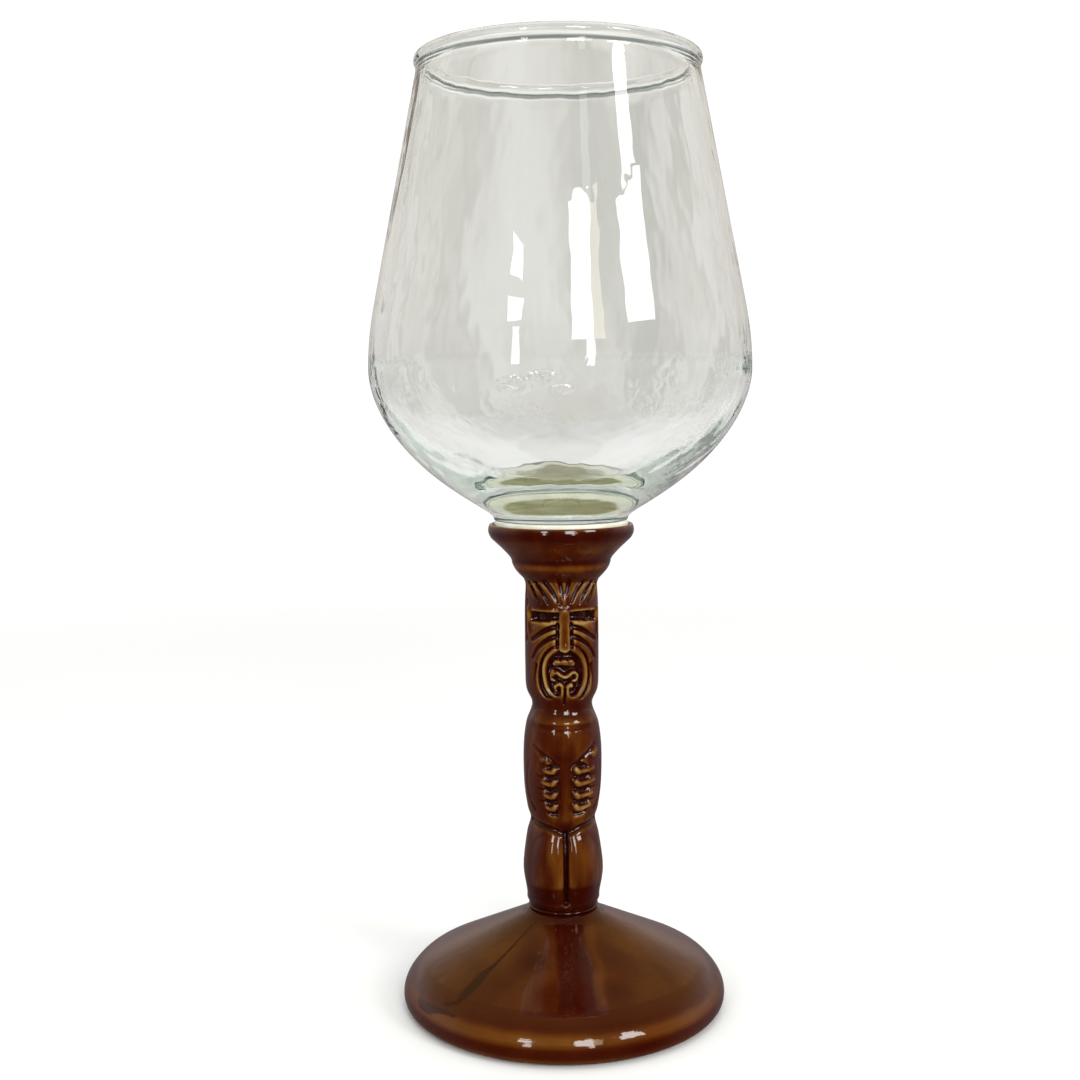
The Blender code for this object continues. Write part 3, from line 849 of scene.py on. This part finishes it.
def pool(angle, height, wide, tall, more):
    """Makes the glaze thicker, or thinner, in a soft patch. wide is in degrees, tall in mm."""
    around = (sheet_angles - angle + 180.0) % 360.0 - 180.0
    pooled[:] += more * np.exp(-((around / wide) ** 2) - ((sheet_ups - height) / tall) ** 2)


for patch in ((0, 103.2, 13, 1.6, -0.03), (0, 77.2, 65, 2.4, 0.13), (0, 72.9, 30, 1.4, -0.06),
              (0, 64.2, 34, 1.6, 0.10), (0, 56.0, 7, 8.0, -0.07), (0, 49.0, 20, 1.2, -0.09),
              (0, 46.7, 55, 1.0, 0.20), (42, 103.0, 20, 2.4, 0.12), (76, 92.0, 18, 9.0, 0.08),
              (72, 62.0, 24, 9.0, 0.10), (11, 57.0, 5, 8.0, 0.12), (22, 39.5, 13, 4.5, -0.07)):
    for middle in (0, 180):
        for angle in sorted({-patch[0], patch[0]}):
            pool(middle + angle, *patch[1:])
for side in (-1, 1):
    pool(side * 28, 97.9, 17, 0.8, -0.13)
pool(28, 38.5, 16, 5.0, -0.06)
pool(-48, 37.0, 18, 6.0, 0.08)
# The dip stopped at the shins, where a second coat starts.
dip_line = 31.7 + 0.25 * np.sin(np.radians(2.0 * sheet_angles + 40.0))
pooled += 0.20 / (1.0 + np.exp((sheet_ups - dip_line) / 0.12))

glazed = soften(sheet, 0.17)
shallow = np.clip(sheet, -1.3, 1.0)
edges = soften(shallow, 0.14) - soften(shallow, 0.55)
thickness = 0.5 + pooled - 1.15 * edges + 0.28 * np.clip(-glazed, 0.0, 1.3)
thickness = np.clip(thickness, 0.0, 1.0)
print("glaze thickness from", round(float(thickness.min()), 2), "to", float(thickness.max()))

# %% Press the carving into the skin
stem_points = points_of(carved_stem)
turn, reach, rise = round_the_axis(stem_points)
row = (rise - SHEET_LOW) / ROW_STEP
column = (turn + 180.0) / COLUMN_STEP
row_low = np.clip(np.floor(row).astype(int), 0, len(row_heights) - 2)
row_part = np.clip(row - row_low, 0.0, 1.0)
column_low = np.floor(column).astype(int) % len(column_angles)
column_next = (column_low + 1) % len(column_angles)
column_part = column - np.floor(column)


def at_points(values):
    """The value of a sheet at each vertex of the stem."""
    lower = values[row_low, column_low] * (1 - column_part)
    lower = lower + values[row_low, column_next] * column_part
    upper = values[row_low + 1, column_low] * (1 - column_part)
    upper = upper + values[row_low + 1, column_next] * column_part
    return lower * (1 - row_part) + upper * row_part


on_skin = (reach > 6.0) & (rise < SHEET_HIGH - 0.5)
amount = np.where(on_skin, at_points(glazed), 0.0)
amount *= np.clip((rise - STEM_BOTTOM) / 0.8, 0.0, 1.0)
widen(carved_stem, stem_points, reach, amount)

glaze_value = np.where(on_skin, at_points(thickness), 0.5)
collar_bands = [(108.0, 0.5), (109.0, 0.70), (110.2, 0.60), (111.3, 0.36), (112.0, 0.37), (113.0, 0.78),
    (113.9, 0.58), (116.0, 0.48), (118.2, 0.56), (119.4, 0.74), (120.8, 0.66), (121.5, 0.34)]
banded = blend(rise, collar_bands)
glaze_value = np.where(rise > COLLAR_BOTTOM, banded, glaze_value)
store(carved_stem, "glaze_thickness", glaze_value)
print("carving pressed into", int(on_skin.sum()), "points")

# %% [markdown]
# ## Brown glaze
# The glaze is an iron-brown lead or alkali glaze, dipped and fired glossy. Where it is thin, on
# edges and ridges, the pale body shows through as khaki gold. Where it has run thick, in the
# cuts, it is nearly black with a red depth. The thickness that was stored with the carving
# drives the colour. The glaze is smooth as glass, with slow ripples that break up reflections.

# %% Material of the glazed stem
def brown_glaze(name, streak_scale, streak_swing, dulled_by, dull_from, dull_to, dullest):
    """A fired brown glaze whose colour follows the glaze_thickness attribute.

    Its shine drops to a roughness of dullest as the attribute dulled_by rises."""
    material, tree, place = new_material(name)
    thick = add_node(tree, "Attribute", attribute_name="glaze_thickness")
    runs = add_node(tree, "Mapping", {"Scale": streak_scale}, {"Vector": place})
    cloud = add_node(tree, "TexNoise", {"Scale": 1.0, "Detail": 3.0, "Roughness": 0.55}, {"Vector": runs})
    swing = add_node(tree, "MapRange", {"From Min": 0.25, "From Max": 0.75, "To Min": -streak_swing,
        "To Max": streak_swing}, {"Value": cloud.outputs["Fac"]})
    total = add_node(tree, "Math", {}, {0: thick.outputs["Fac"], 1: swing}, operation="ADD")
    shade = add_node(tree, "ValToRGB", {}, {0: total})
    set_ramp(shade, [(0.02, "947841"), (0.18, "785425"), (0.34, "5a300a"), (0.50, "3f1604"),
        (0.66, "320902"), (0.92, "260502")])
    ripple = add_node(tree, "TexNoise", {"Scale": 420.0, "Detail": 1.5}, {"Vector": place})
    bump = add_node(tree, "Bump", {"Strength": 0.5, "Distance": 0.12 * MM}, {"Height": ripple.outputs["Fac"]})
    dulling = add_node(tree, "Attribute", attribute_name=dulled_by)
    dull = add_node(tree, "MapRange", {"From Min": dull_from, "From Max": dull_to, "To Min": 0.07,
        "To Max": dullest}, {"Value": dulling.outputs["Fac"]})
    body = add_node(tree, "BsdfPrincipled", {"IOR": 1.52},
        {"Base Color": shade, "Normal": bump, "Roughness": dull})
    add_node(tree, "OutputMaterial", {}, {"Surface": body})
    return material


# Glaze that boiled in a deep cut has fine pits, so it mirrors less sharply there.
PITTED = ("glaze_thickness", 0.74, 0.90, 0.17)
stem_glaze = brown_glaze("fired_brown_glaze_on_carving", (260.0, 260.0, 70.0), 0.13, *PITTED)
wrap_up(carved_stem, "tiki_stem", stem_glaze)

# %% [markdown]
# ## The cone foot
# The foot was jiggered or cast on its own and stuck to the stem with slip. It is a low cone
# with a soft shoulder, hollow below, and it stands on a narrow ring that is wiped clean of
# glaze before firing. Glaze thins along the shoulder to amber and gathers at the lower edge.

# %% Turn the foot
low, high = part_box("foot")
FOOT_TOP = high[2] / MM
FOOT_RADIUS = high[0] / MM
cone_top = (10.6, FOOT_TOP - 1.6)
cone_end = (FOOT_RADIUS - 5.6, 10.95)
shoulder = (FOOT_RADIUS - 1.8, 7.8)
side = (FOOT_RADIUS, 3.4)
ring_outer = (FOOT_RADIUS - 3.8, 0.0)
ring_inner = (ring_outer[0] - 3.4, 0.0)
HOLLOW_TOP = 18.8
foot_line = [(0.0, FOOT_TOP)]
foot_line += straight(foot_line[-1], (8.3, FOOT_TOP), 4)
foot_line += bezier(foot_line[-1], (9.4, FOOT_TOP), (9.7, FOOT_TOP - 1.1), cone_top, 7)
foot_line += straight(cone_top, cone_end, 54)
foot_line += bezier(cone_end, (FOOT_RADIUS - 3.8, 10.1), (FOOT_RADIUS - 2.7, 8.9), shoulder, 8)
foot_line += bezier(shoulder, (FOOT_RADIUS - 0.7, 6.5), (FOOT_RADIUS, 5.0), side, 14)
foot_line += bezier(side, (FOOT_RADIUS, 1.5), (FOOT_RADIUS - 1.2, 0.0), ring_outer, 9)
foot_line += straight(ring_outer, ring_inner, 4)
foot_line += bezier(ring_inner, (ring_inner[0] - 0.8, 0.0), (ring_inner[0] - 1.2, 0.9),
    (ring_inner[0] - 1.8, 2.2), 5)
foot_line += bezier(foot_line[-1], (31.2, 4.0), (31.0, 5.8), (30.0, 6.4), 5)
foot_line += straight(foot_line[-1], (9.0, 17.6), 12)
foot_line += bezier(foot_line[-1], (7.4, 18.5), (5.0, HOLLOW_TOP), (0.0, HOLLOW_TOP), 6)
cone_foot = draw_outline("cone_foot", foot_line)
spin_outline(cone_foot, [(360.0, 480)])
report(cone_foot)

# %% Glaze on the foot
foot_points = points_of(cone_foot)
turn, reach, rise = round_the_axis(foot_points)
CONE_SLOPE = 0.464
# The glazed top and sides, told apart from the hollow below them.
outside = (rise > HOLLOW_TOP + 0.05) | (reach > 33.0) | (rise > 25.5 - CONE_SLOPE * reach)
# Bands by the distance from the axis, counted back from the widest place.
foot_bands = [(0.0, 0.62), (9.5, 0.66), (12.0, 0.50), (24.0, 0.45), (35.0, 0.48), (FOOT_RADIUS - 8.0, 0.49),
    (FOOT_RADIUS - 5.6, 0.54), (FOOT_RADIUS, 0.55)]
value = blend(reach, foot_bands)
# A broad dark band down the front, with an uneven edge and thin amber sides, is partly a run of thicker glaze
# and partly painted reflection of the stem in the glossy cone.
across = foot_points[:, 0]
sway = 0.25 * np.sin(0.31 * reach) + 0.12 * np.sin(0.83 * reach + 1.0)
half = 3.3 + 0.045 * reach + 0.2 * np.sin(0.53 * reach + 2.0)
in_front = (foot_points[:, 1] < 0) & (reach > 9.0)
run_and_stem_reflection = np.clip((half - np.abs(across - 0.6 - sway)) / 1.0, 0.0, 1.0)
run_and_stem_reflection *= np.clip((FOOT_RADIUS - 4.8 - reach) / 2.0, 0.0, 1.0) * in_front
thin_edges_of_run_and_reflection = np.exp(-((across - 0.6 - sway - half - 1.6) / 1.2) ** 2) * in_front * (reach < 34.0)
value = value + 0.17 * run_and_stem_reflection - 0.06 * thin_edges_of_run_and_reflection
# At the rim the bands follow the height: a thick band low down, then the thin amber shoulder.
rim_bands = [(0.0, 0.45), (0.8, 0.42), (1.6, 0.42), (2.6, 0.60), (4.0, 0.60), (4.9, 0.42), (5.7, 0.31),
    (6.9, 0.32), (7.7, 0.45), (8.6, 0.58), (9.6, 0.55)]
at_rim = (rise < 9.6) & (reach > FOOT_RADIUS - 6.0)
banded = blend(rise, rim_bands)
value = np.where(at_rim, banded, value)


def run_of_glaze(line, widths, strength):
    """Darkens the foot along a run: a line of (degrees, radius), with a width in mm at each."""
    global value
    for (a, b), (wa, wb) in zip(zip(line, line[1:]), zip(widths, widths[1:])):
        ax, ay = a[1] * math.sin(math.radians(a[0])), -a[1] * math.cos(math.radians(a[0]))
        bx, by = b[1] * math.sin(math.radians(b[0])), -b[1] * math.cos(math.radians(b[0]))
        dx, dy = bx - ax, by - ay
        t = ((foot_points[:, 0] - ax) * dx + (foot_points[:, 1] - ay) * dy) / (dx * dx + dy * dy)
        t = np.clip(t, 0.0, 1.0)
        distance = np.hypot(foot_points[:, 0] - ax - t * dx, foot_points[:, 1] - ay - t * dy)
        wide = wa + (wb - wa) * t
        dark = np.clip((wide - distance) / 0.35 + 0.5, 0.0, 1.0) * outside * (rise > 6.0)
        value = np.maximum(value, value * (1 - dark) + strength * dark)


run_of_glaze([(-46.5, 10.5), (-46.5, 19.0), (-47.0, 24.5), (-48.5, 28.0), (-48.0, 31.0), (-48.0, 34.5),
    (-48.0, 36.6)], [0.22, 0.25, 0.4, 1.1, 1.4, 1.2, 0.45], 0.90)
run_of_glaze([(-48.0, 36.4), (-51.0, 37.4), (-54.0, 37.8)], [0.35, 0.4, 0.15], 0.85)
run_of_glaze([(-68.5, 39.3), (-62.0, 39.9), (-57.0, 39.2), (-46.0, 38.8)], [0.2, 0.9, 0.5, 0.1], 0.80)
# The amber shoulder is brightest at the front and fades towards the sides.
shoulder_zone = np.exp(-((rise - 6.3) / 1.3) ** 2) * at_rim
value = value + 0.14 * shoulder_zone * (1.0 - np.exp(-((turn / 62.0) ** 2)))
spots = ((-27.0, 21.5, 3.2, 0.22), (20.0, 30.0, 3.0, 0.12), (30.0, 22.0, 4.0, 0.10),
         (-10.0, 30.0, 3.5, 0.10), (120.0, 26.0, 4.0, 0.15), (200.0, 22.0, 5.0, 0.14))
for angle, radius, size, more in spots:
    x, y = radius * math.sin(math.radians(angle)), -radius * math.cos(math.radians(angle))
    gap = np.hypot(foot_points[:, 0] - x, foot_points[:, 1] - y)
    value = value + more * np.exp(-((gap / size) ** 2)) * outside
bare = (rise < 0.2) & (reach > ring_inner[0] - 0.2) & (reach < ring_outer[0] + 0.2)
store(cone_foot, "glaze_thickness", value)
store(cone_foot, "bare_clay", bare)
print("foot glaze from", round(float(value.min()), 2), "to", round(float(value.max()), 2))

# %% Material of the foot
# The ring that the foot stands on is wiped to the clay, so it is dull and pale.
foot_glaze = brown_glaze("fired_brown_glaze_on_foot", (70.0, 70.0, 70.0), 0.07, "bare_clay", 0.0, 1.0, 0.75)
tree = foot_glaze.node_tree
shader = next(n for n in tree.nodes if n.type == "BSDF_PRINCIPLED")
painted = shader.inputs["Base Color"].links[0].from_socket
bare_ring = add_node(tree, "Attribute", attribute_name="bare_clay")
place = add_node(tree, "TexCoord").outputs["Object"]
speck = add_node(tree, "TexNoise", {"Scale": 900.0, "Detail": 3.0}, {"Vector": place})
clay = add_node(tree, "ValToRGB", {}, {0: speck.outputs["Fac"]})
set_ramp(clay, [(0.35, "b9a98c"), (0.65, "d3c6aa")])
shown = add_node(tree, "Mix", {}, {0: bare_ring.outputs["Fac"], 6: painted, 7: clay}, data_type="RGBA")
tree.links.new(shown.outputs[2], shader.inputs["Base Color"])
wrap_up(cone_foot, "foot", foot_glaze)

# %% [markdown]
# ## The slip joint
# Stem and foot were stuck with liquid clay before glazing. The glaze ran into the seam and
# rounded it off, so what shows is a thin glossy ring at the bottom of the legs.

# %% Turn the slip ring
low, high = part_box("slip_joint")
SLIP_BOTTOM = low[2] / MM
SLIP_TOP = high[2] / MM
SLIP_RADIUS = high[0] / MM
slip_line = [(0.0, SLIP_BOTTOM - 0.2)]
slip_line += straight(slip_line[-1], (SLIP_RADIUS - 0.8, SLIP_BOTTOM - 0.2), 4)
slip_line += bezier(slip_line[-1], (SLIP_RADIUS + 0.9, SLIP_BOTTOM - 0.25),
    (SLIP_RADIUS + 0.9, SLIP_TOP + 0.25), (SLIP_RADIUS - 0.8, SLIP_TOP + 0.2), 14)
slip_line += straight(slip_line[-1], (0.0, SLIP_TOP + 0.2), 4)
slip_ring = draw_outline("slip_ring", slip_line)
spin_outline(slip_ring, [(360.0, 160)])
store(slip_ring, "glaze_thickness", np.full(len(slip_ring.data.vertices), 0.72))
seam_glaze = brown_glaze("fired_brown_glaze_in_seam", (200.0, 200.0, 200.0), 0.10, *PITTED)
wrap_up(slip_ring, "slip_joint", seam_glaze)
